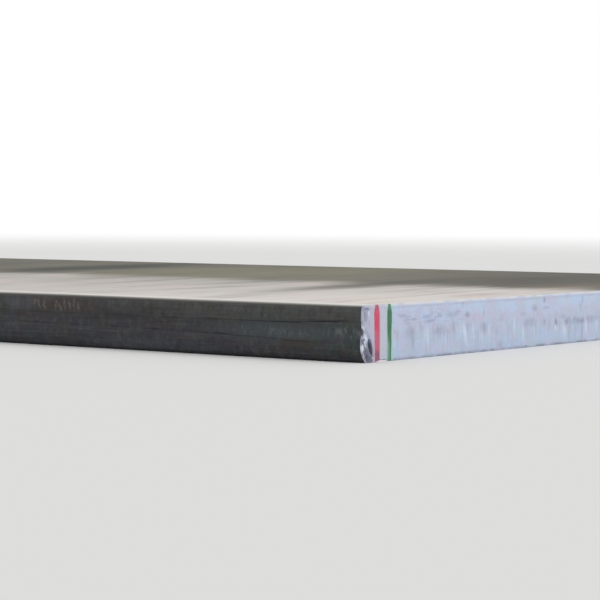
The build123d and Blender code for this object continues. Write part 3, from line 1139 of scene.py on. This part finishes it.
class Stage(bpy.types.Operator):
    """Sets the pale floor, the soft lights and the camera"""

    bl_idname = "scene.plate_stage"
    bl_label = "Stage"

    FLOOR_SIZE = 400.0
    FLOOR_GAP = 0.2 * MM
    FADE = (5.0, 14.0)
    KEY_FROM = (0.85, 0.15, 0.5)

    def execute(self, context):
        scene = context.scene
        stage = scene.plate_stage
        sizes = scene.plate_sizes

        deselect()
        bpy.ops.mesh.primitive_plane_add(size=self.FLOOR_SIZE, location=(0, 0, -self.FLOOR_GAP))
        floor = context.object
        floor.name = "floor"
        material = bpy.data.materials.new("pale_matt_floor")
        material.use_nodes = True
        tree = material.node_tree
        tree.nodes.clear()
        matt = add(tree, "ShaderNodeBsdfDiffuse", {"Color": stage.floor})
        glow = add(tree, "ShaderNodeEmission", {"Color": (1, 1, 1, 1), "Strength": 1.0})
        here = add(tree, "ShaderNodeTexCoord").outputs["Object"]
        away = add(tree, "ShaderNodeVectorMath", {0: here}, operation="LENGTH").outputs["Value"]
        fade = {"Value": away, 1: self.FADE[0], 2: self.FADE[1]}
        fade = add(tree, "ShaderNodeMapRange", fade, **SMOOTH)
        mixed = add(tree, "ShaderNodeMixShader", {0: overlap(tree, fade, seen_ray(tree)), 1: matt, 2: glow})
        add(tree, "ShaderNodeOutputMaterial", {"Surface": mixed})
        floor.data.materials.append(material)

        world = bpy.data.worlds.new("soft_studio")
        scene.world = world
        world.use_nodes = True
        tree = world.node_tree
        tree.nodes.clear()
        strength = add(tree, "ShaderNodeMapRange", {"Value": seen_ray(tree), 3: stage.sky, 4: 1.0})
        light = add(tree, "ShaderNodeBackground", {"Color": (1, 1, 1, 1), "Strength": strength})
        add(tree, "ShaderNodeOutputWorld", {"Surface": light})

        deselect()
        aim = Vector(self.KEY_FROM).to_track_quat("Z", "Y").to_euler()
        bpy.ops.object.light_add(type="SUN", location=Vector(self.KEY_FROM) * 6, rotation=aim)
        key = context.object
        key.name = "key"
        key.data.energy = stage.key
        key.data.angle = radians(25)

        corner = Vector((sizes.length / 2, -sizes.width / 2, sizes.thickness))
        forward = Vector((-sin(stage.heading), cos(stage.heading), 0))
        right = Vector((cos(stage.heading), sin(stage.heading), 0))
        place = corner - forward * stage.distance - right * stage.sideways + Vector((0, 0, stage.height))
        turn = Matrix.Rotation(stage.heading, 3, "Z") @ Matrix.Rotation(pi / 2 - stage.pitch, 3, "X")
        turn = turn @ Matrix.Rotation(stage.roll, 3, "Z")
        deselect()
        bpy.ops.object.camera_add(location=place, rotation=turn.to_euler())
        camera = context.object
        camera.name = "camera"
        camera.data.sensor_width = 36
        camera.data.lens = stage.lens
        scene.camera = camera
        scene.view_settings.view_transform = "Standard"
        return {"FINISHED"}


def seen_ray(tree):
    """Mask of the rays that show the background: straight from the camera, reflected or let through."""
    path = add(tree, "ShaderNodeLightPath")
    seen = path.outputs["Is Camera Ray"]
    for kind in ("Is Glossy Ray", "Is Transmission Ray"):
        seen = add(tree, "ShaderNodeMath", {0: seen, 1: path.outputs[kind]}, operation="MAXIMUM")
    return seen


class PlatePanel(bpy.types.Panel):
    """Lists the plate's sizes, colours and steps"""

    bl_idname = "VIEW3D_PT_rolled_plate"
    bl_label = "Rolled plate"
    bl_space_type = "VIEW_3D"
    bl_region_type = "UI"
    bl_category = "Plate"

    def draw(self, context):
        scene = context.scene
        for title, group in (("Sizes", scene.plate_sizes), ("Colours", scene.plate_colours), ("Stage", scene.plate_stage)):
            box = self.layout.box()
            box.label(text=title)
            for name in group.__annotations__:
                box.prop(group, name)
        for operator in (Stage, RolledPlate):
            self.layout.operator(operator.bl_idname)


CLASSES = (PlateSizes, PlateColours, StageSettings, Stage, RolledPlate, PlatePanel)


def register():
    """Registers the classes and their settings on the scene."""
    for item in CLASSES:
        bpy.utils.register_class(item)
    bpy.types.Scene.plate_sizes = bpy.props.PointerProperty(type=PlateSizes)
    bpy.types.Scene.plate_colours = bpy.props.PointerProperty(type=PlateColours)
    bpy.types.Scene.plate_stage = bpy.props.PointerProperty(type=StageSettings)


def unregister():
    """Takes the classes and their settings away again."""
    for name in ("plate_stage", "plate_colours", "plate_sizes"):
        delattr(bpy.types.Scene, name)
    for item in reversed(CLASSES):
        bpy.utils.unregister_class(item)


def main():
    """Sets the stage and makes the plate."""
    register()
    bpy.ops.scene.plate_stage()
    bpy.ops.object.rolled_plate()


if __name__ == "__main__":
    main()
